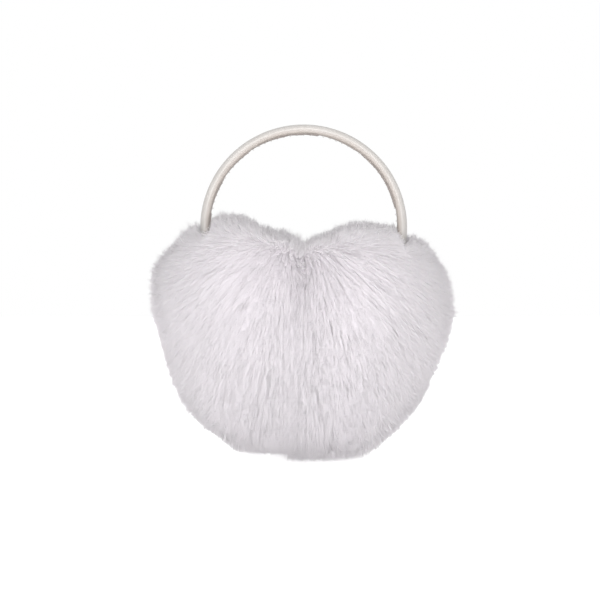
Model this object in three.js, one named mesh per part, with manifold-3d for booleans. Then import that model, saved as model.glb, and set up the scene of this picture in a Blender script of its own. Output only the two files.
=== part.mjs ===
// Fur earmuffs: a slim wrapped headband whose two ends run down into two big fur muffs.
// The muffs lean inwards at the bottom and press against each other, so from the front they
// make one rounded heart. Each muff is a padded oval backing with its long fur in locks that
// are fused to it. Units are millimetres, +Z is up, the front is -Y, and the origin is on the
// surface that the muffs stand on, under the middle of the object.
import * as THREE from "three";
import { mergeVertices } from "three/addons/utils/BufferGeometryUtils.js";
import Module from "manifold-3d";

const wasm = await Module();
wasm.setup();

// Headband. The arch is part of one circle, and both ends follow it down into the muffs.
const bandOuterWidth = 130;
const bandCentre = { x: 0.3, z: 145.4 };
const bandThickness = 5.8;
const bandDepth = 7;
const bandEndBelowLevel = 42;
const bandSteps = 44;
const bandSectionSides = 14;
const seamHeight = 0.7;
const seamHalfWidth = 0.9;
const seamTopShare = 0.7;

// Muffs. The centre places the middle of the fur, a little forward so that its locks reach as far
// to the front as to the back. halfLength and halfThickness reach to the fur's tips, and tilt
// leans the top outwards by that many degrees.
const muffs = [
  {
    name: "left_muff",
    side: -1,
    centreX: -34.2,
    centreY: -1.8,
    centreZ: 77.4,
    halfLength: 79,
    halfThickness: 56,
    tilt: 23.5,
    seed: 11,
  },
  {
    name: "right_muff",
    side: 1,
    centreX: 29.1,
    centreY: -0.9,
    centreZ: 74,
    halfLength: 81,
    halfThickness: 57.5,
    tilt: 30,
    seed: 23,
  },
];
const fullness = 2.2;
const backingShare = 0.86;
const backingRows = 12;
const backingColumns = 18;

// Locks of fur. Widths are half widths at the root, and the shares are of the muff's own size.
// On the faces of the heart the locks lie away from its middle, combed along by combLength, and at
// its rim they stand straight out. A lock whose tip ends lower than pressedBelow is pressed on the
// floor: it runs as far again below that height, and the floor cuts it flat.
const heartMiddle = { x: -4.7, z: 122 };
const combLength = 24;
const locksOnMuff = 84;
const lockSides = 5;
const lockRows = 2;
const lockHalfWidth = 21;
const lockHalfThickness = 11;
const lockWidthRange = [0.9, 1.1];
const lockSwell = 0.9;
const lockRootShare = 0.62;
const lockBow = 0.6;
const lockUnevenness = 0.035;
const pressedBelow = 11;

// Where the muffs press together: a plane that leans from the notch at the top of the heart to
// the notch at its foot. Within about seamSpread of it the fur is longer by seamFill of the
// muff's size, so that it closes over the plane, and less so above seamFillTop.
const contactTop = { x: 0.5, z: 138 };
const contactFoot = { x: -14.9, z: 4 };
const contactGap = 0.6;
const seamFill = 0.12;
const seamSpread = 24;
const seamFillTop = 120;
const seamFillFade = 45;

// Making. The sockets are wider than the band's ends by fitGap and longer by socketSpare degrees.
const fitGap = 0.3;
const socketSpare = 0.5;
const cutterSize = 600;
const weldDistance = 1e-4;

const bandCentreRadius = bandOuterWidth / 2 - bandThickness / 2;

const furWhite = new THREE.MeshStandardMaterial({ color: "#e4dfe3", roughness: 0.95, metalness: 0 });
const bandCream = new THREE.MeshStandardMaterial({ color: "#e9e2da", roughness: 0.5, metalness: 0 });

// A repeatable random number from 0 to 1.
function randomFrom(seed) {
  let state = seed;
  return () => {
    state = (state * 1664525 + 1013904223) % 4294967296;
    return state / 4294967296;
  };
}

// A closed geometry as a solid that can be joined and cut.
function solidFrom(geometry) {
  const bare = geometry.clone();
  bare.deleteAttribute("normal");
  bare.deleteAttribute("uv");
  const merged = mergeVertices(bare, weldDistance);
  const mesh = new wasm.Mesh({
    numProp: 3,
    vertProperties: new Float32Array(merged.attributes.position.array),
    triVerts: new Uint32Array(merged.index.array),
  });
  return new wasm.Manifold(mesh);
}

// A solid as a geometry again.
function geometryFrom(solid) {
  const mesh = solid.getMesh();
  const geometry = new THREE.BufferGeometry();
  geometry.setAttribute("position", new THREE.BufferAttribute(mesh.vertProperties, 3));
  geometry.setIndex(new THREE.BufferAttribute(mesh.triVerts, 1));
  geometry.computeVertexNormals();
  return geometry;
}

// The arch that the middle of the headband follows, from the left end over the top to the right.
class BandArc extends THREE.Curve {
  constructor(endBelowLevel) {
    super();
    this.start = THREE.MathUtils.degToRad(180 + endBelowLevel);
    this.end = THREE.MathUtils.degToRad(-endBelowLevel);
  }

  getPoint(t) {
    const angle = THREE.MathUtils.lerp(this.start, this.end, t);
    const x = bandCentre.x + bandCentreRadius * Math.cos(angle);
    const z = bandCentre.z + bandCentreRadius * Math.sin(angle);
    return new THREE.Vector3(x, 0, z);
  }
}

// The headband's section: an oval, with the sewn edge of the wrap as a low ridge on the inside.
function bandSection(grow) {
  const halfDepth = bandDepth / 2 + grow;
  const halfThickness = bandThickness / 2 + grow;
  const halfRidge = seamHalfWidth + grow;
  const ridgeAngle = Math.acos(halfRidge / halfDepth);
  const sweep = Math.PI + 2 * ridgeAngle;
  const points = [];
  for (let i = 0; i <= bandSectionSides; i++) {
    const angle = Math.PI - ridgeAngle + (sweep * i) / bandSectionSides;
    points.push(new THREE.Vector2(halfDepth * Math.cos(angle), halfThickness * Math.sin(angle)));
  }
  const ridgeTop = bandThickness / 2 + seamHeight + grow;
  points.push(new THREE.Vector2(seamTopShare * halfRidge, ridgeTop));
  points.push(new THREE.Vector2(-seamTopShare * halfRidge, ridgeTop));
  return new THREE.Shape(points);
}

function bandGeometry(grow, endBelowLevel) {
  return new THREE.ExtrudeGeometry(bandSection(grow), {
    steps: bandSteps,
    bevelEnabled: false,
    extrudePath: new BandArc(endBelowLevel),
  });
}

// A point on a muff's oval, at a share of its full size. direction is a unit vector in the muff's
// own axes: x out from the head, y front to back, z along the length of the muff.
function ovalPoint(muff, direction, share) {
  const power = (v) => Math.abs(v) ** fullness;
  const reach = (power(direction.x) + power(direction.y) + power(direction.z)) ** (-1 / fullness);
  const lean = THREE.MathUtils.degToRad(muff.tilt);
  const out = direction.x * reach * muff.halfThickness * share;
  const along = direction.z * reach * muff.halfLength * share;
  const across = direction.y * reach * muff.halfLength * share;
  const sideways = out * Math.cos(lean) + along * Math.sin(lean);
  const upwards = along * Math.cos(lean) - out * Math.sin(lean);
  const x = muff.centreX + muff.side * sideways;
  return new THREE.Vector3(x, muff.centreY + across, muff.centreZ + upwards);
}

// The direction, in a muff's own axes, that leads to a point.
function directionTo(muff, point) {
  const lean = THREE.MathUtils.degToRad(muff.tilt);
  const sideways = muff.side * (point.x - muff.centreX);
  const upwards = point.z - muff.centreZ;
  const out = (sideways * Math.cos(lean) - upwards * Math.sin(lean)) / muff.halfThickness;
  const along = (sideways * Math.sin(lean) + upwards * Math.cos(lean)) / muff.halfLength;
  const across = (point.y - muff.centreY) / muff.halfLength;
  return new THREE.Vector3(out, across, along).normalize();
}

// How much further than its oval a muff's fur reaches at a point, as a share of its size.
function fillAt(point) {
  const rise = new THREE.Vector2(contactTop.x - contactFoot.x, contactTop.z - contactFoot.z).normalize();
  const room = rise.y * (point.x - contactFoot.x) - rise.x * (point.z - contactFoot.z);
  const fade = THREE.MathUtils.clamp(1 - (point.z - seamFillTop) / seamFillFade, 0, 1);
  return seamFill * fade * Math.exp(-((room / seamSpread) ** 2));
}

// The padded backing under the fur.
function backingSolid(muff) {
  const ball = new THREE.SphereGeometry(1, backingColumns, backingRows);
  const position = ball.attributes.position;
  for (let i = 0; i < position.count; i++) {
    const direction = new THREE.Vector3().fromBufferAttribute(position, i).normalize();
    direction.x *= muff.side;
    const fill = fillAt(ovalPoint(muff, direction, 1));
    const point = ovalPoint(muff, direction, backingShare + fill);
    position.setXYZ(i, point.x, point.y, point.z);
  }
  return solidFrom(ball);
}

// One lock of fur: a flat cone bent along a curve from its root to its tip.
function lockSolid(root, middle, tip, outward, halfWidth) {
  const spine = new THREE.QuadraticBezierCurve3(root, middle, tip);
  const cone = new THREE.ConeGeometry(1, 1, lockSides, lockRows);
  const position = cone.attributes.position;
  for (let i = 0; i < position.count; i++) {
    const share = position.getY(i) + 0.5;
    const along = spine.getTangent(share);
    const across = new THREE.Vector3().crossVectors(along, outward).normalize();
    const over = new THREE.Vector3().crossVectors(across, along);
    const swell = 1 + lockSwell * share;
    const point = spine.getPoint(share);
    point.addScaledVector(across, position.getX(i) * halfWidth * swell);
    point.addScaledVector(over, position.getZ(i) * lockHalfThickness * swell);
    position.setXYZ(i, point.x, point.y, point.z);
  }
  return solidFrom(cone);
}

// Where a lock that grows towards a point ends.
function lockTip(muff, surface, unevenness) {
  const away = new THREE.Vector3(surface.x - heartMiddle.x, 0, surface.z - heartMiddle.z).normalize();
  const combed = directionTo(muff, surface.clone().addScaledVector(away, combLength));
  const reach = 1 + lockUnevenness * unevenness + fillAt(ovalPoint(muff, combed, 1));
  const tip = ovalPoint(muff, combed, reach);
  tip.z -= Math.max(0, pressedBelow - tip.z);
  return tip;
}

// All the locks of a muff, spread evenly over it on a spiral.
function lockSolids(muff) {
  const random = randomFrom(muff.seed);
  const goldenAngle = Math.PI * (3 - Math.sqrt(5));
  const locks = [];
  for (let i = 0; i < locksOnMuff; i++) {
    const height = 1 - (2 * i + 1) / locksOnMuff;
    const ring = Math.sqrt(1 - height * height);
    const turn = i * goldenAngle;
    const direction = new THREE.Vector3(height, ring * Math.cos(turn), ring * Math.sin(turn));
    const root = ovalPoint(muff, direction, lockRootShare);
    const surface = ovalPoint(muff, direction, 1);
    const tip = lockTip(muff, surface, 2 * random() - 1);
    const middle = root.clone().lerp(surface, lockBow);
    const outward = surface.clone().sub(root).normalize();
    const spin = new THREE.Vector3(random() - 0.5, random() - 0.5, random() - 0.5);
    const facing = outward.clone().cross(spin).normalize();
    const halfWidth = lockHalfWidth * THREE.MathUtils.lerp(...lockWidthRange, random());
    locks.push(lockSolid(root, middle, tip, facing, halfWidth));
  }
  return locks;
}

// A block that fills everything on one side of the plane between the muffs.
function pressedSide(side) {
  const block = new THREE.BoxGeometry(cutterSize, cutterSize, cutterSize);
  const lean = Math.atan2(contactTop.x - contactFoot.x, contactTop.z - contactFoot.z);
  block.translate(side * (cutterSize / 2 + contactGap / 2), 0, 0);
  block.rotateY(lean);
  block.translate((contactTop.x + contactFoot.x) / 2, 0, (contactTop.z + contactFoot.z) / 2);
  return solidFrom(block);
}

function floorBlock() {
  const block = new THREE.BoxGeometry(cutterSize, cutterSize, cutterSize);
  block.translate(0, 0, -cutterSize / 2);
  return solidFrom(block);
}

// One whole muff, with the socket that its end of the headband goes into.
function muffMesh(muff) {
  const socket = solidFrom(bandGeometry(fitGap, bandEndBelowLevel + socketSpare));
  const furred = wasm.Manifold.union([backingSolid(muff), ...lockSolids(muff)]);
  const pressed = furred.intersect(pressedSide(muff.side));
  const standing = pressed.subtract(floorBlock()).subtract(socket);
  const bodies = standing.decompose().sort((a, b) => b.volume() - a.volume());
  const mesh = new THREE.Mesh(geometryFrom(bodies[0]), furWhite);
  mesh.name = muff.name;
  return mesh;
}

const earmuffs = new THREE.Group();
const headband = new THREE.Mesh(bandGeometry(0, bandEndBelowLevel), bandCream);
headband.name = "headband";
earmuffs.add(headband);
for (const muff of muffs) {
  earmuffs.add(muffMesh(muff));
}

export default earmuffs;
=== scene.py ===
"""Fur earmuffs: long white fur on two muffs, a wrapped headband with a sewn seam, and a studio.

Everything is in metres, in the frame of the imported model: +Z is up, the front is -Y, and the
muffs stand on z = 0.
"""

import math
from dataclasses import dataclass

import bmesh
import bpy
import numpy as np
from bpy.props import FloatProperty, FloatVectorProperty, IntProperty, PointerProperty
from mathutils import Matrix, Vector


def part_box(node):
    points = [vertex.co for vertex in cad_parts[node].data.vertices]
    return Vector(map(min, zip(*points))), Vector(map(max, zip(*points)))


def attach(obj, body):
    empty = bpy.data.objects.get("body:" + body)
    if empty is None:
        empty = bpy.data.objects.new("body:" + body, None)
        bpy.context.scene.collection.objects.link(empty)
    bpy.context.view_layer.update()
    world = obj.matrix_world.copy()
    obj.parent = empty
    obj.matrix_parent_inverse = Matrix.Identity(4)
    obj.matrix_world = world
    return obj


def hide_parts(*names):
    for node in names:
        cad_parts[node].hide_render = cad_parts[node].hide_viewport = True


bl_info = {
    "name": "Fur Earmuffs",
    "version": (1, 0, 0),
    "blender": (4, 5, 0),
    "location": "View3D > Sidebar > Earmuffs",
    "description": "Makes the fur, the headband and the studio of a pair of fur earmuffs",
    "category": "Object",
}

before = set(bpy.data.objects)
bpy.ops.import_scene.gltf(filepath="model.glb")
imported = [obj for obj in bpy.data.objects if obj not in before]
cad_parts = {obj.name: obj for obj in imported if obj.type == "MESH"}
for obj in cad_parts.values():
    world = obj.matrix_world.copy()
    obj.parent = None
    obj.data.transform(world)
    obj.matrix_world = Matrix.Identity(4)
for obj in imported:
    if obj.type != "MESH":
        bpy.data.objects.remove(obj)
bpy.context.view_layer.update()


@dataclass(frozen=True)
class Muff:
    """One muff's oval: its middle, its half sizes to the fur's tips, and its lean in degrees.

    Its lowest hairs end foot_room above the floor.
    """

    name: str
    side: int
    centre_x: float
    centre_z: float
    half_length: float
    half_thickness: float
    tilt: float
    foot_room: float
    seed: int


MUFFS = {
    "left": Muff("left", -1, -0.0342, 0.0774, 0.0790, 0.0560, 23.5, 0.0050, 11),
    "right": Muff("right", 1, 0.0291, 0.0740, 0.0810, 0.0575, 30.0, 0.0002, 23),
}

# How square an oval is: 2 makes an ellipsoid.
FULLNESS = 2.2

# Where the muffs press together: a plane that leans from the notch at the top to the foot.
CONTACT_TOP = np.array([0.0005, 0.0, 0.1380])
CONTACT_FOOT = np.array([-0.0149, 0.0, 0.0040])

# Where the right muff's foot starts to lift off the floor, and over what length.
FOOT_EDGE = -0.0090
FOOT_EDGE_LENGTH = 0.005

# The point that the fur is combed away from, and how near to it the combing starts.
HEART_MIDDLE = np.array([-0.0030, 0.0, 0.1520])
HEART_SPREAD = 0.016

# Along the plane between the muffs the fur is longer, by a share of the muff's size that fades
# towards the top, so that it closes over the plane.
SEAM_FILL = 0.15
SEAM_SPREAD = 0.024
SEAM_FADE_START = 0.115
SEAM_FADE = 0.045

# On the faces the dip between the muffs is filled by a share of the depth. Columns: z, share.
SEAM_PUSH = np.array([
    (0.010, 0.05), (0.035, 0.10), (0.075, 0.15), (0.110, 0.26), (0.125, 0.27), (0.140, 0.20),
    (0.160, 0.08)])
SEAM_PUSH_SPREAD = 0.028

# How near to the plane the coats' normals turn forward and the underfur lies deeper.
SEAM_TURN_SPREAD = 0.030

# Places at the rim of the heart where a tuft of fur is longer or shorter than the oval, by a
# share. Columns: x, z, spread, how much longer.
TUFTS = np.array([
    (-0.0950, 0.112, 0.017, 0.018),
    (-0.0910, 0.074, 0.020, -0.052),
    (-0.0824, 0.137, 0.012, -0.045),
    (-0.0500, 0.013, 0.012, -0.060),
    (-0.0215, 0.149, 0.011, -0.060),
    (0.0156, 0.146, 0.008, -0.035),
    (0.0890, 0.125, 0.012, -0.040),
    (0.0680, 0.143, 0.012, -0.045),
    (0.0470, 0.152, 0.010, -0.040),
    (0.0900, 0.060, 0.016, -0.020),
])

# How hair bends over, in metres: how far a root lies under the bend, how far a tip stands above
# it, and how far the tips on the outer sides lean to the back.
ROOT_DEPTH = 0.021
TIP_RISE = 0.0075
SIDE_LEAN = 0.010

# The hair of a face hangs by this share of its lie. Near the plane it loses this share of its
# slant to the side.
DROOP = 0.15
STRAIGHTEN = 0.85
STRAIGHTEN_SPREAD = 0.014

# How hair gathers. Locks and wisps are moved, in metres, and made longer or shorter, by a share.
LOCK_SHIFT = 0.0013
WISP_SHIFT = 0.0009
LOCK_REACH = 0.010
WISP_REACH = 0.014
LOCK_PULL = 0.08
WISP_PULL = (0.40, 0.95)

# How hair scatters: its tips, in metres, on the faces and where it is loose, its waves, in metres,
# and its length, which is mostly a little under the longest.
FACE_SCATTER = 0.0034
LOOSE_SCATTER = 0.0007
WAVE = 0.0005
LONGEST = 1.008
SHORTER_SHAPE = 1.6
SHORTER_SCALE = 0.011

# Where the hair is loose: under this height, fully so this much lower, and towards the rim, from
# this slope on. Elsewhere it is nearly smooth.
LOOSE_UNDER = 0.048
LOOSE_DEPTH = 0.036
LOOSE_SLOPE = 0.75
LOOSE_SLOPE_RANGE = 0.20
LEAST_LOOSE = 0.08

# Underfur: its lumps, and how far it stays off the plane between the muffs and off the floor.
LUMPS = 600
LUMP_HEIGHT = 0.035
LUMP_SIZE = 0.004
PLANE_ROOM = 0.0004
FLOOR_ROOM = 0.0015

# Where the fur lies against the front of the headband's ends. Columns: side, z, and how steeply
# it stands higher on the band's inner side.
BAND_ENTRIES = ((-1, 0.1345, 0.5), (1, 0.1310, 2.0))

# Lights: name, place, aim, size and power.
SOFTBOXES = (
    ("front_softbox", (-0.10, -2.1, 0.30), (0, 0, 0.09), 1.0, 40),
    ("top_softbox", (0.3, -0.2, 1.9), (0, 0, 0.08), 1.4, 2),
)

# The headband's arc, from its node's box and its own thickness.
BAND_LOW, BAND_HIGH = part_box("headband")
BAND_OUTER_RADIUS = (BAND_HIGH[0] - BAND_LOW[0]) / 2
BAND_X = (BAND_HIGH[0] + BAND_LOW[0]) / 2
BAND_Z = BAND_HIGH[2] - BAND_OUTER_RADIUS


class BandSettings(bpy.types.PropertyGroup):
    """Sizes of the headband and its seam."""

    thickness: FloatProperty(
        name="Thickness", description="From the outside to the inside of the arch, in metres",
        default=0.0058, min=0.001, unit="LENGTH")
    depth: FloatProperty(
        name="Depth", description="From the front to the back of the band, in metres",
        default=0.0070, min=0.001, unit="LENGTH")
    end_below_level: FloatProperty(
        name="End below level",
        description="How far the ends run on below the arc's middle, in degrees",
        default=41.0, min=0.0, max=80.0)
    seam_height: FloatProperty(
        name="Seam height", description="Height of the sewn ridge on the inside, in metres",
        default=0.00110, min=0.0, unit="LENGTH")
    seam_half_width: FloatProperty(
        name="Seam half width", description="Half the width of the sewn ridge, in metres",
        default=0.0013, min=0.0001, unit="LENGTH")
    stitch_pitch: FloatProperty(
        name="Stitch pitch", description="From one stitch to the next along the seam, in metres",
        default=0.0042, min=0.0005, unit="LENGTH")
    stitch_radius: FloatProperty(
        name="Stitch radius", description="Radius of the sewing thread, in metres",
        default=0.00012, min=0.00002, unit="LENGTH")
    steps: IntProperty(
        name="Steps", description="Steps along the arch", default=330, min=12)
    section_points: IntProperty(
        name="Section points", description="Points round the section", default=48, min=8)


class FurSettings(bpy.types.PropertyGroup):
    """Amounts and sizes of the fur."""

    strands: IntProperty(
        name="Strands", description="Hairs in each coat", default=55000, min=10)
    coats: IntProperty(
        name="Coats", description="Coats of hair on each muff, each a piece of its own",
        default=3, min=1, max=4)
    rings: IntProperty(
        name="Rings", description="Points along a hair from its root to just before its tip",
        default=2, min=2)
    hair_width: FloatProperty(
        name="Hair width", description="Width of a hair at its widest, in metres",
        default=0.00032, min=0.00005, unit="LENGTH")
    root_share: FloatProperty(
        name="Root share", description="Where hairs start, as a share of the muff's size",
        default=0.62, min=0.2, max=0.95)
    bend: FloatProperty(
        name="Bend",
        description="Where hairs bend over, as a share of the way out from the root share",
        default=0.74, min=0.1, max=1.0)
    underfur_share: FloatProperty(
        name="Underfur share",
        description="Size of the woolly underfur, as a share of the muff's size",
        default=0.84, min=0.3, max=0.98)
    locks: IntProperty(
        name="Locks", description="Large locks that the hair of a muff gathers in",
        default=210, min=1)
    wisps: IntProperty(
        name="Wisps", description="Small wisps that the hair of a muff gathers in",
        default=14000, min=1)
    lie: FloatProperty(
        name="Lie", description="How far the tips are combed along the surface, in metres",
        default=0.020, min=0.0, unit="LENGTH")


class StudioSettings(bpy.types.PropertyGroup):
    """Camera and light."""

    frame_width: FloatProperty(
        name="Frame width", description="Width that the picture covers at the object, in metres",
        default=0.3768, min=0.05, unit="LENGTH")
    aim: FloatVectorProperty(
        name="Aim", description="Point at the middle of the picture, in metres",
        default=(-0.0020, 0.0, 0.1002), unit="LENGTH")
    distance: FloatProperty(
        name="Distance", description="From the camera to the object, in metres",
        default=1.5, min=0.3, unit="LENGTH")
    even_light: FloatProperty(
        name="Even light", description="Strength of the light from all round",
        default=1.05, min=0.0)
    front_light: FloatProperty(
        name="Front light",
        description="How much stronger the light from the front is than from the side",
        default=0.55, min=0.0)


def random_for(name):
    """A repeatable source of random numbers for a named piece."""
    return np.random.default_rng(sum((i + 1) * ord(c) for i, c in enumerate(name)))


# Shapes of the muffs


def unit(vectors):
    """Rows scaled to length one."""
    lengths = np.linalg.norm(vectors, axis=-1, keepdims=True)
    return vectors / np.maximum(lengths, 1e-12)


def spread_directions(count, random, jitter=0.0):
    """Unit rows spread evenly over a sphere on a spiral, each moved a little."""
    index = np.arange(count) + 0.5
    height = 1 - 2 * index / count
    ring = np.sqrt(1 - height**2)
    turn = index * math.pi * (3 - math.sqrt(5)) + random.uniform(0, 2 * math.pi)
    rows = np.stack([height, ring * np.cos(turn), ring * np.sin(turn)], axis=1)
    return unit(rows + random.normal(0, jitter, rows.shape))


def oval_points(muff, directions, share):
    """Points on a muff's oval at a share of its size. A direction is (out, across, along)."""
    reach = (np.abs(directions) ** FULLNESS).sum(axis=-1) ** (-1 / FULLNESS) * share
    out = directions[..., 0] * reach * muff.half_thickness
    across = directions[..., 1] * reach * muff.half_length
    along = directions[..., 2] * reach * muff.half_length
    lean = math.radians(muff.tilt)
    x = muff.centre_x + muff.side * (out * math.cos(lean) + along * math.sin(lean))
    z = muff.centre_z + along * math.cos(lean) - out * math.sin(lean)
    return np.stack([x, across, z], axis=-1)


def oval_directions(muff, points):
    """The directions that lead to points, and the share of the muff's size that each is at."""
    lean = math.radians(muff.tilt)
    x = (points[..., 0] - muff.centre_x) * muff.side
    z = points[..., 2] - muff.centre_z
    out = (x * math.cos(lean) - z * math.sin(lean)) / muff.half_thickness
    along = (x * math.sin(lean) + z * math.cos(lean)) / muff.half_length
    scaled = np.stack([out, points[..., 1] / muff.half_length, along], axis=-1)
    share = (np.abs(scaled) ** FULLNESS).sum(axis=-1) ** (1 / FULLNESS)
    return unit(scaled), share


def oval_normals(muff, points):
    """Unit normals, facing out, of the ovals of the muff's kind that pass through the points."""
    directions, _ = oval_directions(muff, points)
    local = np.sign(directions) * np.abs(directions) ** (FULLNESS - 1)
    out = local[..., 0] / muff.half_thickness
    across = local[..., 1] / muff.half_length
    along = local[..., 2] / muff.half_length
    lean = math.radians(muff.tilt)
    x = muff.side * (out * math.cos(lean) + along * math.sin(lean))
    z = along * math.cos(lean) - out * math.sin(lean)
    return unit(np.stack([x, across, z], axis=-1))


def coat_normals(muff, points):
    """Normals of the fur's surface: the oval's, turned forward where the coats of the muffs meet."""
    normals = oval_normals(muff, points)
    towards = contact_normal() * muff.side
    room = np.maximum(room_to_plane(muff, points), 0)
    near = np.exp(-((room / SEAM_TURN_SPREAD) ** 2))
    across_plane = normals @ towards
    return unit(normals - towards * (across_plane * near)[..., None])


def contact_normal():
    """The unit normal of the plane between the muffs, towards the right muff."""
    rise = CONTACT_TOP - CONTACT_FOOT
    return unit(np.array([rise[2], 0.0, -rise[0]]))


def room_to_plane(muff, points):
    """How far points are on the muff's own side of the plane between the muffs."""
    return muff.side * ((points - CONTACT_FOOT) @ contact_normal())


def seam_fill(muff, points):
    """How much further the fur reaches near the plane between the muffs, as a share."""
    fade = np.clip(1 - (points[..., 2] - SEAM_FADE_START) / SEAM_FADE, 0, 1)
    return SEAM_FILL * fade * np.exp(-((room_to_plane(muff, points) / SEAM_SPREAD) ** 2))


def pushed_forward(muff, points):
    """Points moved to the front or the back near the plane, where the coats fill the dip."""
    push = np.interp(points[..., 2], SEAM_PUSH[:, 0], SEAM_PUSH[:, 1])
    push = push * np.exp(-((room_to_plane(muff, points) / SEAM_PUSH_SPREAD) ** 2))
    moved = points.copy()
    moved[..., 1] *= 1 + push
    return moved


# How the hair lies


def away_from_middle(points):
    """Which way points lie from the middle of the heart, seen from the front, fading out at it."""
    away = points - HEART_MIDDLE
    away[..., 1] = 0
    distance = np.linalg.norm(away, axis=-1, keepdims=True)
    return away / np.maximum(distance, 0.001) * (1 - np.exp(-((distance / HEART_SPREAD) ** 2)))


def outward(muff, points):
    """The way that hair stands: out from the muff, and on its faces away from the heart's middle."""
    normals = coat_normals(muff, points)
    slope = np.hypot(normals[:, 0], normals[:, 2])[:, None]
    own = normals / np.maximum(slope, 0.01)
    own[:, 1] = 0
    rim = slope**7
    heading = (away_from_middle(points) * (1 - rim) + own * rim) * slope
    heading[:, 1] = normals[:, 1]
    return unit(heading)


def comb(muff, middles, reach, lie):
    """Tips of hairs that bend over at these middles.

    On the faces of the heart they lie away from its middle, and at its rim they stand straight out.
    On the outer sides they also lean to the back.
    """
    normals = coat_normals(muff, middles)
    face = 1 - np.hypot(normals[:, 0], normals[:, 2])[:, None] ** 3
    flow = away_from_middle(middles)
    near = np.exp(-((room_to_plane(muff, middles) / STRAIGHTEN_SPREAD) ** 2))
    flow[:, 0] *= 1 - STRAIGHTEN * near
    flow[:, 2] -= DROOP
    wanted = middles + outward(muff, middles) * TIP_RISE + flow * lie * face
    side = np.abs(normals[:, 0]) ** 3
    wanted[:, 1] += SIDE_LEAN * side * np.clip(1 - 2 * normals[:, 1], 0, 1)
    aim = wanted.copy()
    for _ in range(3):
        directions, _ = oval_directions(muff, aim)
        tips = oval_points(muff, directions, reach)
        miss = wanted - tips
        miss[:, 1] = 0
        aim += miss * face
    return tips


def tuft_length(points):
    """How much longer or shorter the hair is at points near the tufts of the rim, as a share."""
    total = np.zeros(len(points))
    for x, z, spread, longer in TUFTS:
        distance = np.hypot(points[:, 0] - x, points[:, 2] - z)
        total += longer * np.exp(-((distance / spread) ** 2))
    return total


def hair_steps(rings):
    """Places along a hair, from 0 at its root to 1 at its tip, closer together towards the tip."""
    return 1 - (1 - np.linspace(0, 1, rings + 1)) ** 2.7


def gathered(values, own, groups, share):
    """Rows pulled towards the row of their group."""
    return own + (values[groups] - own) * share[:, None]


def nearest(directions, guides):
    """For each direction, the number of the guide that it is nearest to."""
    found = np.empty(len(directions), dtype=np.int64)
    guides = guides.T.astype(np.float32)
    for start in range(0, len(directions), 2048):
        block = directions[start:start + 2048].astype(np.float32)
        found[start:start + 2048] = np.argmax(block @ guides, axis=1)
    return found


def looseness(muff, directions):
    """How freely hair falls into wisps: little on the faces, more at the foot and the rim."""
    points = oval_points(muff, directions, 1.0)
    foot = np.clip((LOOSE_UNDER - points[:, 2]) / LOOSE_DEPTH, 0, 1)
    normals = oval_normals(muff, points)
    slope = np.hypot(normals[:, 0], normals[:, 2])
    rim = np.clip((slope - LOOSE_SLOPE) / LOOSE_SLOPE_RANGE, 0, 1)
    return (LEAST_LOOSE + (1 - LEAST_LOOSE) * np.maximum(foot, rim))[:, None]


def hair_spines(muff, count, fur, random):
    """The points along each hair, from root to tip, as an array of hairs by points by xyz."""
    shared = np.random.default_rng(muff.seed)
    locks = spread_directions(fur.locks, shared, 0.05)
    wisps = spread_directions(fur.wisps, shared, 0.02)
    loose_locks = looseness(muff, locks)
    loose_wisps = looseness(muff, wisps)
    lock_shift = shared.normal(0, LOCK_SHIFT, locks.shape) * loose_locks
    wisp_shift = shared.normal(0, WISP_SHIFT, wisps.shape) * loose_wisps
    lock_reach = 1 + shared.normal(0, LOCK_REACH, len(locks)) * loose_locks[:, 0]
    wisp_reach = 1 + shared.normal(0, WISP_REACH, len(wisps)) * loose_wisps[:, 0]

    directions = spread_directions(count, random, 0.02)
    hidden = room_to_plane(muff, oval_points(muff, directions, 0.80)) <= -0.010
    directions = directions[~hidden]
    lock_of_wisp = nearest(wisps, locks)
    wisp = nearest(directions, wisps)

    bend = fur.root_share + (1 - fur.root_share) * fur.bend
    lock_tips = comb(muff, oval_points(muff, locks, bend), 1.0, fur.lie) + lock_shift
    wisp_tips = comb(muff, oval_points(muff, wisps, bend), 1.0, fur.lie)
    wisp_tips = wisp_tips + lock_shift[lock_of_wisp] + wisp_shift
    wisp_tips = gathered(lock_tips, wisp_tips, lock_of_wisp, np.full(len(wisps), LOCK_PULL))
    middles = oval_points(muff, directions, bend)
    lie = fur.lie * random.uniform(0.5, 1.2, (len(middles), 1))
    tips = comb(muff, middles, 1.0, lie) + lock_shift[lock_of_wisp[wisp]]
    loose = looseness(muff, directions)[:, 0]
    tips = gathered(wisp_tips, tips, wisp, random.uniform(*WISP_PULL, len(tips)) * loose)
    scatter = FACE_SCATTER + (LOOSE_SCATTER - FACE_SCATTER) * loose[:, None]
    tips = tips + random.normal(0, 1, tips.shape) * scatter

    reach = lock_reach[lock_of_wisp[wisp]] * wisp_reach[wisp]
    reach = reach * (LONGEST - random.gamma(SHORTER_SHAPE, SHORTER_SCALE, len(tips)))
    normals = oval_normals(muff, tips)
    rim = normals[:, 0] ** 2 + normals[:, 2] ** 2
    reach = reach * (1 + seam_fill(muff, tips) * rim + tuft_length(tips))
    tip_directions, _ = oval_directions(muff, tips)
    tips = pushed_forward(muff, oval_points(muff, tip_directions, reach))
    middles = pushed_forward(muff, middles)
    roots = middles - outward(muff, middles) * ROOT_DEPTH
    stop_at_floor(muff, middles, tips, random)

    t = hair_steps(fur.rings)[None, :, None]
    near_root = (1 - t) ** 2 * roots[:, None]
    near_middle = 2 * t * (1 - t) * middles[:, None]
    spines = near_root + near_middle + t**2 * tips[:, None]
    spines = spines + random.normal(0, WAVE, (len(tips), 1, 3)) * np.sin(t * math.pi * 1.7)
    part_for_band(spines, random)
    press_on_floor(muff, spines, random)
    return spines


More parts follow.
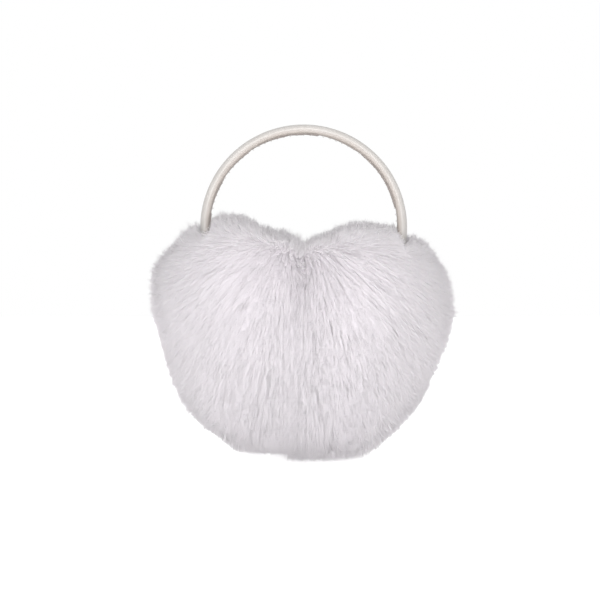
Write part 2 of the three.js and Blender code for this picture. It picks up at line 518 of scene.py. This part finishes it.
def stop_at_floor(muff, middles, tips, random):
    """Shorten hairs that would go through the floor, unevenly, more so under the left muff.

    Under the right muff's edge at its neighbour the hairs end as high as the left muff's.
    """
    past_edge = np.clip((FOOT_EDGE - tips[:, 0]) / FOOT_EDGE_LENGTH, 0, 1)
    edge_room = MUFFS["left"].foot_room * past_edge
    lowest = np.maximum(muff.foot_room, edge_room) + random.gamma(1.5, 0.0009, len(tips))
    middles[:, 2] = np.maximum(middles[:, 2], lowest + 0.002)
    drop = np.maximum(middles[:, 2] - tips[:, 2], 1e-6)
    share = np.clip((middles[:, 2] - lowest) / drop, 0, 1)
    tips[:] = middles + (tips - middles) * share[:, None]


def press_on_floor(muff, spines, random):
    """Lay hairs that would go below the floor flat on it."""
    lift = random.uniform(0.0002, 0.0016, (len(spines), 1))
    under = np.maximum(lift - spines[..., 2], 0)
    sideways = spines - np.array([muff.centre_x, 0.0, 0.0])
    sideways[..., 2] = 0
    spines += unit(sideways) * under[..., None] * 0.7
    spines[..., 2] += under


def part_for_band(spines, random):
    """Press the hair down in front of the headband where it goes into the muffs.

    On the right the hair stands higher over the inner side of the band than over its outer side.
    """
    half_width, climb = 0.0036, 8.0
    ruffle = np.minimum(random.exponential(0.0022, (len(spines), 1)), 0.009)
    for side, entry_z, inner_rise in BAND_ENTRIES:
        dx = spines[..., 0] - BAND_X
        off = np.hypot(dx, spines[..., 2] - BAND_Z) - (BAND_OUTER_RADIUS - 0.0029)
        ceiling = entry_z + climb * np.maximum(np.abs(off) - half_width, 0) + ruffle
        ceiling = ceiling - inner_rise * np.clip(off, -half_width, half_width)
        here = (dx * side > 0) & (spines[..., 1] < 0.005)
        spines[..., 2] = np.where(here, np.minimum(spines[..., 2], ceiling), spines[..., 2])


# Meshes


def mesh_piece(name, points, triangles, normals, attributes=()):
    """An object of these points, triangles and shading normals, with named numbers at points."""
    mesh = bpy.data.meshes.new(name)
    mesh.vertices.add(len(points))
    mesh.vertices.foreach_set("co", points.astype(np.float32).ravel())
    mesh.loops.add(triangles.size)
    mesh.loops.foreach_set("vertex_index", triangles.astype(np.int32).ravel())
    mesh.polygons.add(len(triangles))
    mesh.polygons.foreach_set("loop_start", np.arange(0, triangles.size, 3, dtype=np.int32))
    mesh.update(calc_edges=True)
    mesh.shade_smooth()
    mesh.normals_split_custom_set_from_vertices(normals.astype(np.float32))
    for label, numbers in attributes:
        layer = mesh.attributes.new(label, "FLOAT", "POINT")
        layer.data.foreach_set("value", numbers.astype(np.float32).ravel())
    piece = bpy.data.objects.new(name, mesh)
    bpy.context.collection.objects.link(piece)
    return piece


def hair_ribbons(muff, spines, width, random):
    """Points, triangles, shading normals, and numbers along and per hair, for tapering ribbons."""
    count, rings, _ = spines.shape
    tangents = unit(np.gradient(spines, axis=1))
    facing = unit(random.normal(0, 1, (count, 1, 3)))
    sides = unit(np.cross(tangents, facing))
    coat = coat_normals(muff, spines)
    flats = np.cross(sides, tangents)
    inward = (flats * coat).sum(axis=-1, keepdims=True) < 0
    sides = np.where(inward, -sides, sides)
    flats = np.where(inward, -flats, flats)
    normals = unit(coat + 0.05 * flats)
    along = hair_steps(rings - 1)
    taper = (1 - along**6) * (0.75 + 0.25 * np.minimum(along * 3, 1))
    half = 0.5 * width * random.uniform(0.65, 1.25, (count, 1)) * taper[None, :]
    left = spines - sides * half[..., None]
    right = spines + sides * half[..., None]
    points = paired(left, right, spines)
    normals = paired(normals, normals, normals)
    per_hair = points.shape[1]
    pattern = []
    for ring in range(rings - 2):
        a = 2 * ring
        pattern += [(a, a + 1, a + 3), (a, a + 3, a + 2)]
    pattern.append((per_hair - 3, per_hair - 2, per_hair - 1))
    firsts = np.arange(count)[:, None, None] * per_hair
    triangles = (firsts + np.array(pattern)[None]).reshape(-1, 3)
    along_hair = np.tile(np.append(np.repeat(along[:-1], 2), 1.0), (count, 1))
    hair = np.repeat(random.uniform(0, 1, (count, 1)), per_hair, axis=1)
    return points.reshape(-1, 3), triangles, normals.reshape(-1, 3), along_hair, hair


def paired(left, right, middle):
    """Left and right rows in turn along each hair, then the middle row at its tip."""
    sides = np.stack([left, right], axis=2)[:, :-1]
    return np.concatenate([sides.reshape(len(left), -1, 3), middle[:, -1:]], axis=1)


# Materials


def new_material(name):
    """A new material with its nodes, its links and its Principled shader."""
    material = bpy.data.materials.new(name)
    material.use_nodes = True
    tree = material.node_tree
    return material, tree, tree.nodes["Principled BSDF"]


def add_node(tree, kind, **values):
    """A node with its inputs and properties set by name."""
    node = tree.nodes.new(kind)
    for key, value in values.items():
        if hasattr(node, key):
            setattr(node, key, value)
        else:
            node.inputs[key.replace("_", " ").title()].default_value = value
    return node


def ramp(tree, factor, stops):
    """A colour ramp on factor with stops of (place, colour)."""
    node = tree.nodes.new("ShaderNodeValToRGB")
    elements = node.color_ramp.elements
    for i, (place, colour) in enumerate(stops):
        element = elements[i] if i < 2 else elements.new(place)
        element.position = place
        element.color = (*colour, 1)
    tree.links.new(factor, node.inputs[0])
    return node.outputs[0]


def multiplied(tree, first, second):
    """Two colours multiplied."""
    mix = tree.nodes.new("ShaderNodeMix")
    mix.data_type = "RGBA"
    mix.blend_type = "MULTIPLY"
    mix.inputs[0].default_value = 1.0
    tree.links.new(first, mix.inputs[6])
    tree.links.new(second, mix.inputs[7])
    return mix.outputs[2]


def fur_material():
    """White fur: hairs a little lighter or darker, shaded at the root, that let light through."""
    material, tree, shader = new_material("fur")
    along = add_node(tree, "ShaderNodeAttribute", attribute_name="along")
    hair = add_node(tree, "ShaderNodeAttribute", attribute_name="hair")
    length_colour = ramp(tree, along.outputs["Fac"], [
        (0.0, (0.95, 0.93, 0.945)), (0.55, (0.97, 0.952, 0.966)), (1.0, (0.975, 0.958, 0.972))])
    hair_colour = ramp(tree, hair.outputs["Fac"], [
        (0.0, (0.975, 0.97, 0.975)), (0.5, (1.0, 0.998, 1.0)), (1.0, (1.0, 1.0, 1.0))])
    colour = multiplied(tree, length_colour, hair_colour)
    tree.links.new(colour, shader.inputs["Base Color"])
    shader.inputs["Roughness"].default_value = 0.6
    shader.inputs["Specular IOR Level"].default_value = 0.25
    through = tree.nodes.new("ShaderNodeBsdfTranslucent")
    tree.links.new(colour, through.inputs["Color"])
    blend = tree.nodes.new("ShaderNodeMixShader")
    blend.inputs[0].default_value = 0.70
    tree.links.new(shader.outputs[0], blend.inputs[1])
    tree.links.new(through.outputs[0], blend.inputs[2])
    tree.links.new(blend.outputs[0], tree.nodes["Material Output"].inputs["Surface"])
    return material


def underfur_material():
    """Woolly underfur: soft clumps of white, greyed by painted shade of the coats over them, with
    painted shade between them.
    """
    material, tree, shader = new_material("underfur")
    where = tree.nodes.new("ShaderNodeTexCoord")
    clumps = add_node(tree, "ShaderNodeTexNoise", scale=220.0, detail=5.0, roughness=0.65)
    tree.links.new(where.outputs["Object"], clumps.inputs["Vector"])
    # Painted shade: the whole underfur is greyer than the hair, for the shade under the coats, and
    # darker still between the clumps.
    colour = ramp(tree, clumps.outputs["Fac"], [
        (0.30, (0.74, 0.715, 0.73)), (0.70, (0.84, 0.815, 0.835))])
    tree.links.new(colour, shader.inputs["Base Color"])
    bump = add_node(tree, "ShaderNodeBump", strength=0.8, distance=0.002)
    tree.links.new(clumps.outputs["Fac"], bump.inputs["Height"])
    tree.links.new(bump.outputs[0], shader.inputs["Normal"])
    shader.inputs["Roughness"].default_value = 0.95
    shader.inputs["Specular IOR Level"].default_value = 0.1
    return material


def wrap_material():
    """Cream satin wrap: fine grain, faint creases across, and painted shade over its inner side and
    seam.
    """
    material, tree, shader = new_material("band_wrap")
    where = tree.nodes.new("ShaderNodeTexCoord")
    inner = add_node(tree, "ShaderNodeAttribute", attribute_name="inner")
    grain = add_node(tree, "ShaderNodeTexNoise", scale=2600.0, detail=3.0, roughness=0.6)
    tree.links.new(where.outputs["Object"], grain.inputs["Vector"])
    cloudy = add_node(tree, "ShaderNodeTexNoise", scale=160.0, detail=2.0, roughness=0.5)
    tree.links.new(where.outputs["Object"], cloudy.inputs["Vector"])
    # Colour round the section: cream, a little lower across the middle, with painted shade that
    # darkens steeply over the inner side and the seam.
    cream_and_painted_shade = ramp(tree, inner.outputs["Fac"], [
        (0.0, (0.385, 0.370, 0.356)), (0.12, (0.325, 0.312, 0.302)), (0.40, (0.340, 0.324, 0.309)),
        (0.62, (0.356, 0.332, 0.314)), (0.80, (0.41, 0.375, 0.350)), (0.88, (0.38, 0.345, 0.318)),
        (0.96, (0.255, 0.228, 0.209)), (1.0, (0.25, 0.222, 0.208))])
    cloud_colour = ramp(tree, cloudy.outputs["Fac"], [
        (0.3, (0.97, 0.965, 0.96)), (0.7, (1.0, 1.0, 1.0))])
    tree.links.new(multiplied(tree, cream_and_painted_shade, cloud_colour), shader.inputs["Base Color"])
    bump = add_node(tree, "ShaderNodeBump", strength=0.15, distance=0.0001)
    tree.links.new(grain.outputs["Fac"], bump.inputs["Height"])
    tree.links.new(bump.outputs[0], shader.inputs["Normal"])
    shader.inputs["Roughness"].default_value = 0.36
    shader.inputs["Specular IOR Level"].default_value = 0.35
    shader.inputs["Sheen Weight"].default_value = 0.10
    shader.inputs["Sheen Roughness"].default_value = 0.4
    return material


def thread_material():
    """Sewing thread: a darker cream with a fine twist."""
    material, tree, shader = new_material("thread")
    where = tree.nodes.new("ShaderNodeTexCoord")
    twist = add_node(tree, "ShaderNodeTexNoise", scale=5200.0, detail=2.0, roughness=0.5)
    tree.links.new(where.outputs["Object"], twist.inputs["Vector"])
    colour = ramp(tree, twist.outputs["Fac"], [
        (0.35, (0.30, 0.265, 0.255)), (0.65, (0.42, 0.38, 0.36))])
    tree.links.new(colour, shader.inputs["Base Color"])
    shader.inputs["Roughness"].default_value = 0.7
    return material


def floor_material():
    """A pale studio floor, evenly bright."""
    material, tree, shader = new_material("studio_floor")
    shader.inputs["Base Color"].default_value = (0.90, 0.90, 0.90, 1)
    shader.inputs["Roughness"].default_value = 0.9
    shader.inputs["Specular IOR Level"].default_value = 0.0
    shader.inputs["Emission Color"].default_value = (1, 1, 1, 1)
    shader.inputs["Emission Strength"].default_value = 0.70
    return material


def shared_material(make):
    """The material that a function makes, made once."""
    name = make.__name__
    if name not in shared_material.made:
        shared_material.made[name] = make()
    return shared_material.made[name]


shared_material.made = {}


# Operators, one for each kind of piece and one for the stage


class EARMUFFS_OT_headband(bpy.types.Operator):
    """Make the wrapped headband with its sewn ridge"""

    bl_idname = "earmuffs.headband"
    bl_label = "Headband"

    def execute(self, context):
        band = context.scene.earmuffs_band
        mesh = bpy.data.meshes.new("headband_wrap")
        bm = bmesh.new()
        middle = BAND_OUTER_RADIUS - band.thickness / 2
        start = math.radians(180 + band.end_below_level)
        ring = []
        for i in range(band.section_points):
            turn = 2 * math.pi * i / band.section_points
            radius = middle + band.thickness / 2 * math.sin(turn)
            y = band.depth / 2 * math.cos(turn)
            place = (BAND_X + radius * math.cos(start), y, BAND_Z + radius * math.sin(start))
            ring.append(bm.verts.new(place))
        cap = bm.faces.new(ring)
        sweep = math.radians(180 + 2 * band.end_below_level)
        bmesh.ops.spin(
            bm, geom=[cap], cent=(BAND_X, 0, BAND_Z), axis=(0, 1, 0), angle=sweep,
            steps=band.steps, use_duplicate=False)
        bmesh.ops.recalc_face_normals(bm, faces=bm.faces)
        bm.to_mesh(mesh)
        bm.free()
        shape_seam(mesh, band, middle)
        mesh.shade_smooth()
        piece = bpy.data.objects.new("headband_wrap", mesh)
        context.collection.objects.link(piece)
        mesh.materials.append(shared_material(wrap_material))
        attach(piece, "root")
        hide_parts("headband")
        return {"FINISHED"}


def shape_seam(mesh, band, middle):
    """Raise the gathered edge of the wrap on the inside of the arch, and note where it lies, which
    places the wrap's painted shade.

    The edge grows along the band and drops back at uneven distances, at a kink.
    """
    points = np.empty(len(mesh.vertices) * 3, dtype=np.float32)
    mesh.vertices.foreach_get("co", points)
    points = points.reshape(-1, 3).astype(float)
    dx = points[:, 0] - BAND_X
    dz = points[:, 2] - BAND_Z
    radius = np.hypot(dx, dz)
    along = (np.pi / 2 - np.arctan2(dz, dx)) % (2 * np.pi) * middle
    inside = np.clip((middle - radius) / (band.thickness / 2), -1, 1)
    random = random_for("seam")
    lengths = random.uniform(0.010, 0.034, 40)
    heights = random.uniform(0.15, 0.75, 40)
    starts = np.cumsum(lengths) - lengths
    stretch = np.searchsorted(starts, along, side="right") - 1
    grown = (along - starts[stretch]) / lengths[stretch]
    drop = np.sqrt(np.clip(4 * (1 - grown), 0, 1))
    gather = (1 - heights[stretch]) + heights[stretch] * grown * drop
    wander = 0.0004 * np.sin(along / 0.0098 + 1.3)
    ridge = np.exp(-(((points[:, 1] - wander) / band.seam_half_width) ** 2)) * (inside > 0)
    lift = band.seam_height * ridge * gather
    swell = 0.00007 * np.sin(along / 0.0061 + 0.5 * np.sin(along / 0.017)) * (1 - inside**2)
    scale = (radius - lift + swell * np.sign(-inside)) / radius
    points[:, 0] = BAND_X + dx * scale
    points[:, 2] = BAND_Z + dz * scale
    mesh.vertices.foreach_set("co", points.astype(np.float32).ravel())
    # The inner number places the wrap's painted shade: it rises towards the inside of the arch and a
    # little where the ridge is gathered higher, which shifts those parts darker.
    layer = mesh.attributes.new("inner", "FLOAT", "POINT")
    inner = 0.5 + 0.5 * inside + 0.10 * (gather - 0.6) * (inside > 0)
    layer.data.foreach_set("value", inner.astype(np.float32))
    mesh.update()


class EARMUFFS_OT_stitches(bpy.types.Operator):
    """Sew slanting stitches over the ridge on the inside of the headband"""

    bl_idname = "earmuffs.stitches"
    bl_label = "Stitches"

    def execute(self, context):
        band = context.scene.earmuffs_band
        bm = bmesh.new()
        inner = BAND_OUTER_RADIUS - band.thickness
        random = random_for("stitches")
        reach = math.radians(6)
        count = int((math.pi + 2 * reach) * inner / band.stitch_pitch)
        for i in range(count):
            angle = math.pi + reach - (math.pi + 2 * reach) * (i + 0.5) / count
            add_stitch(bm, band, inner, angle, random)
        mesh = bpy.data.meshes.new("band_stitches")
        bm.to_mesh(mesh)
        bm.free()
        mesh.shade_smooth()
        piece = bpy.data.objects.new("band_stitches", mesh)
        context.collection.objects.link(piece)
        mesh.materials.append(shared_material(thread_material))
        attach(piece, "root")
        return {"FINISHED"}


def add_stitch(bm, band, inner, angle, random):
    """One stitch: a thin round thread bent over the ridge, slanting along the band."""
    made = bmesh.ops.create_uvsphere(bm, u_segments=7, v_segments=12, radius=1.0)
    slant = random.uniform(0.45, 0.75)
    half = 0.0019 * random.uniform(0.9, 1.1)
    for vertex in made["verts"]:
        y = half * vertex.co.z
        ridge = band.seam_height * math.exp(-((y / band.seam_half_width) ** 2))
        curve = band.thickness / 2 * (1 - math.sqrt(1 - (y / (band.depth / 2)) ** 2))
        radius = inner - ridge + curve - band.stitch_radius * vertex.co.x
        turn = angle + (slant * y + band.stitch_radius * vertex.co.y) / inner
        vertex.co = (BAND_X + radius * math.cos(turn), y, BAND_Z + radius * math.sin(turn))


class EARMUFFS_OT_underfur(bpy.types.Operator):
    """Make the woolly underfur of both muffs"""

    bl_idname = "earmuffs.underfur"
    bl_label = "Underfur"

    def execute(self, context):
        fur = context.scene.earmuffs_fur
        for muff in MUFFS.values():
            bm = bmesh.new()
            bmesh.ops.create_icosphere(bm, subdivisions=6, radius=1.0)
            for vertex in bm.verts:
                vertex.co.x *= muff.side
            bmesh.ops.recalc_face_normals(bm, faces=bm.faces)
            mesh = bpy.data.meshes.new(f"{muff.name}_underfur")
            bm.to_mesh(mesh)
            bm.free()
            directions = np.empty(len(mesh.vertices) * 3, dtype=np.float32)
            mesh.vertices.foreach_get("co", directions)
            directions = unit(directions.reshape(-1, 3).astype(float))
            points = self.woolly(muff, directions, fur)
            mesh.vertices.foreach_set("co", points.astype(np.float32).ravel())
            mesh.update()
            mesh.shade_smooth()
            mesh.materials.append(shared_material(underfur_material))
            piece = bpy.data.objects.new(f"{muff.name}_underfur", mesh)
            context.collection.objects.link(piece)
            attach(piece, "root")
            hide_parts(f"{muff.name}_muff")
        return {"FINISHED"}

    @staticmethod
    def woolly(muff, directions, fur):
        """Points of the underfur: the oval in low lumps, flat where it meets its neighbour."""
        shared = np.random.default_rng(muff.seed + 1)
        lumps = spread_directions(LUMPS, shared, 0.05)
        tufts = nearest(directions, lumps)
        closeness = (directions * lumps[tufts]).sum(axis=1)
        rise = np.clip(1 - (1 - closeness) / LUMP_SIZE, 0, 1) * LUMP_HEIGHT
        surface = oval_points(muff, directions, 1.0)
        normals = oval_normals(muff, surface)
        rim = normals[:, 0] ** 2 + normals[:, 2] ** 2
        share = fur.underfur_share * (0.975 + rise) + 0.5 * seam_fill(muff, surface) * rim**2
        seam = np.exp(-((room_to_plane(muff, surface) / SEAM_TURN_SPREAD) ** 2))
        share = share - 0.01 * seam * (1 - rim)
        points = pushed_forward(muff, oval_points(muff, directions, share))
        over = np.maximum(PLANE_ROOM - room_to_plane(muff, points), 0)
        points = points + contact_normal() * muff.side * over[:, None]
        points[:, 2] = np.maximum(points[:, 2], FLOOR_ROOM)
        return points


class EARMUFFS_OT_fur(bpy.types.Operator):
    """Grow the coats of long hair on both muffs"""

    bl_idname = "earmuffs.fur"
    bl_label = "Fur"

    def execute(self, context):
        fur = context.scene.earmuffs_fur
        strands = fur.strands
        for muff in MUFFS.values():
            for coat in range(fur.coats):
                name = f"{muff.name}_fur_{coat + 1}"
                random = random_for(name)
                spines = hair_spines(muff, strands, fur, random)
                ribbons = hair_ribbons(muff, spines, fur.hair_width, random)
                points, triangles, normals, along, hair = ribbons
                numbers = (("along", along), ("hair", hair))
                piece = mesh_piece(name, points, triangles, normals, numbers)
                piece.data.materials.append(shared_material(fur_material))
                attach(piece, "root")
                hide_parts(f"{muff.name}_muff")
        return {"FINISHED"}


class EARMUFFS_OT_studio(bpy.types.Operator):
    """Set up the floor, the camera and the lights"""

    bl_idname = "earmuffs.studio"
    bl_label = "Studio"

    def execute(self, context):
        studio = context.scene.earmuffs_studio
        self.floor()
        self.camera(context, studio)
        for softbox in SOFTBOXES:
            self.softbox(*softbox)
        self.world(context, studio)
        context.scene.view_settings.view_transform = "Standard"
        return {"FINISHED"}

    @staticmethod
    def floor():
        bm = bmesh.new()
        bmesh.ops.create_grid(bm, x_segments=8, y_segments=8, size=12.0)
        mesh = bpy.data.meshes.new("studio_floor")
        bm.to_mesh(mesh)
        bm.free()
        piece = bpy.data.objects.new("studio_floor", mesh)
        bpy.context.collection.objects.link(piece)
        mesh.materials.append(floor_material())

    @staticmethod
    def camera(context, studio):
        data = bpy.data.cameras.new("camera")
        data.sensor_width = 36.0
        data.lens = data.sensor_width * studio.distance / studio.frame_width
        data.clip_end = 60.0
        camera = bpy.data.objects.new("camera", data)
        camera.location = Vector(studio.aim) + Vector((0, -studio.distance, 0))
        camera.rotation_euler = (math.radians(90), 0, 0)
        context.collection.objects.link(camera)
        context.scene.camera = camera

    @staticmethod
    def softbox(name, place, aim, size, power):
        data = bpy.data.lights.new(name, "AREA")
        data.size = size
        data.energy = power
        light = bpy.data.objects.new(name, data)
        light.location = place
        light.rotation_euler = (Vector(aim) - Vector(place)).to_track_quat("-Z", "Y").to_euler()
        bpy.context.collection.objects.link(light)

    @staticmethod
    def world(context, studio):
        world = bpy.data.worlds.new("studio")
        world.use_nodes = True
        tree = world.node_tree
        light = tree.nodes["Background"]
        light.inputs["Color"].default_value = (1, 1, 1, 1)
        way = tree.nodes.new("ShaderNodeTexCoord")
        split = tree.nodes.new("ShaderNodeSeparateXYZ")
        tree.links.new(way.outputs["Generated"], split.inputs[0])
        strength = tree.nodes.new("ShaderNodeMath")
        strength.operation = "MULTIPLY_ADD"
        strength.inputs[1].default_value = -studio.front_light
        strength.inputs[2].default_value = studio.even_light
        tree.links.new(split.outputs["Y"], strength.inputs[0])
        tree.links.new(strength.outputs[0], light.inputs["Strength"])
        backdrop = tree.nodes.new("ShaderNodeBackground")
        backdrop.inputs["Color"].default_value = (1, 1, 1, 1)
        path = tree.nodes.new("ShaderNodeLightPath")
        mix = tree.nodes.new("ShaderNodeMixShader")
        tree.links.new(path.outputs["Is Camera Ray"], mix.inputs[0])
        tree.links.new(light.outputs[0], mix.inputs[1])
        tree.links.new(backdrop.outputs[0], mix.inputs[2])
        tree.links.new(mix.outputs[0], tree.nodes["World Output"].inputs["Surface"])
        context.scene.world = world


class EARMUFFS_PT_panel(bpy.types.Panel):
    """Buttons that make the earmuffs and their studio"""

    bl_idname = "EARMUFFS_PT_panel"
    bl_label = "Fur Earmuffs"
    bl_space_type = "VIEW_3D"
    bl_region_type = "UI"
    bl_category = "Earmuffs"

    def draw(self, context):
        column = self.layout.column()
        for operator in OPERATORS:
            column.operator(operator.bl_idname)


OPERATORS = (
    EARMUFFS_OT_headband,
    EARMUFFS_OT_stitches,
    EARMUFFS_OT_underfur,
    EARMUFFS_OT_fur,
    EARMUFFS_OT_studio,
)
CLASSES = (BandSettings, FurSettings, StudioSettings, *OPERATORS, EARMUFFS_PT_panel)


def register():
    for cls in CLASSES:
        bpy.utils.register_class(cls)
    bpy.types.Scene.earmuffs_band = PointerProperty(type=BandSettings)
    bpy.types.Scene.earmuffs_fur = PointerProperty(type=FurSettings)
    bpy.types.Scene.earmuffs_studio = PointerProperty(type=StudioSettings)


def unregister():
    del bpy.types.Scene.earmuffs_studio
    del bpy.types.Scene.earmuffs_fur
    del bpy.types.Scene.earmuffs_band
    for cls in reversed(CLASSES):
        bpy.utils.unregister_class(cls)


def main():
    register()
    bpy.ops.earmuffs.headband()
    bpy.ops.earmuffs.stitches()
    bpy.ops.earmuffs.underfur()
    bpy.ops.earmuffs.fur()
    bpy.ops.earmuffs.studio()


if __name__ == "__main__":
    main()
